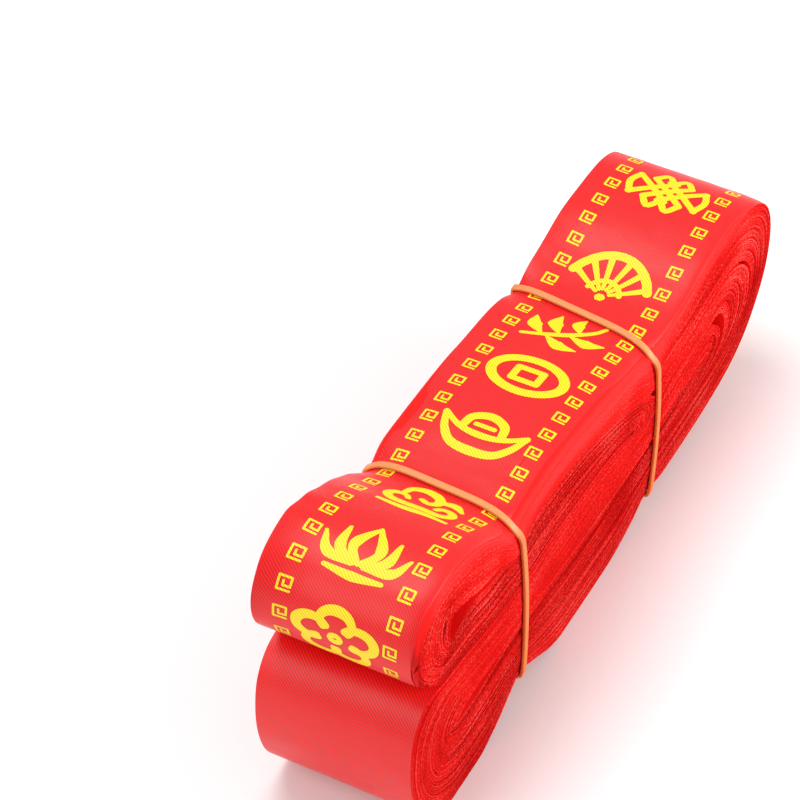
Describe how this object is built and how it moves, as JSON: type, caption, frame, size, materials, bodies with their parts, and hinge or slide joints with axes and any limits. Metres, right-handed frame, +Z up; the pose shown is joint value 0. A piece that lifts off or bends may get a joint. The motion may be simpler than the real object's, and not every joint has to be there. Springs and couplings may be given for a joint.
{
  "type": "roll of wishing ribbon",
  "caption": "Flat-wound roll of wide printed satin ribbon, its front folded into two stacked lobes, held by rubber bands.",
  "frame": {"origin": "on the resting plane, under the middle of the part's bounding box", "axes": "+X across the ribbon, +Y along the roll towards its single back turn, +Z up"},
  "size_m": [0.0528, 0.2365, 0.0956],
  "materials": {
    "satin": "satin weave, printed",
    "rubber_band": "plain"
  },
  "bodies": {
    "root": {"ribbon_roll": "satin", "band_front": "rubber_band", "band_back": "rubber_band"}
  },
  "joints": []
}
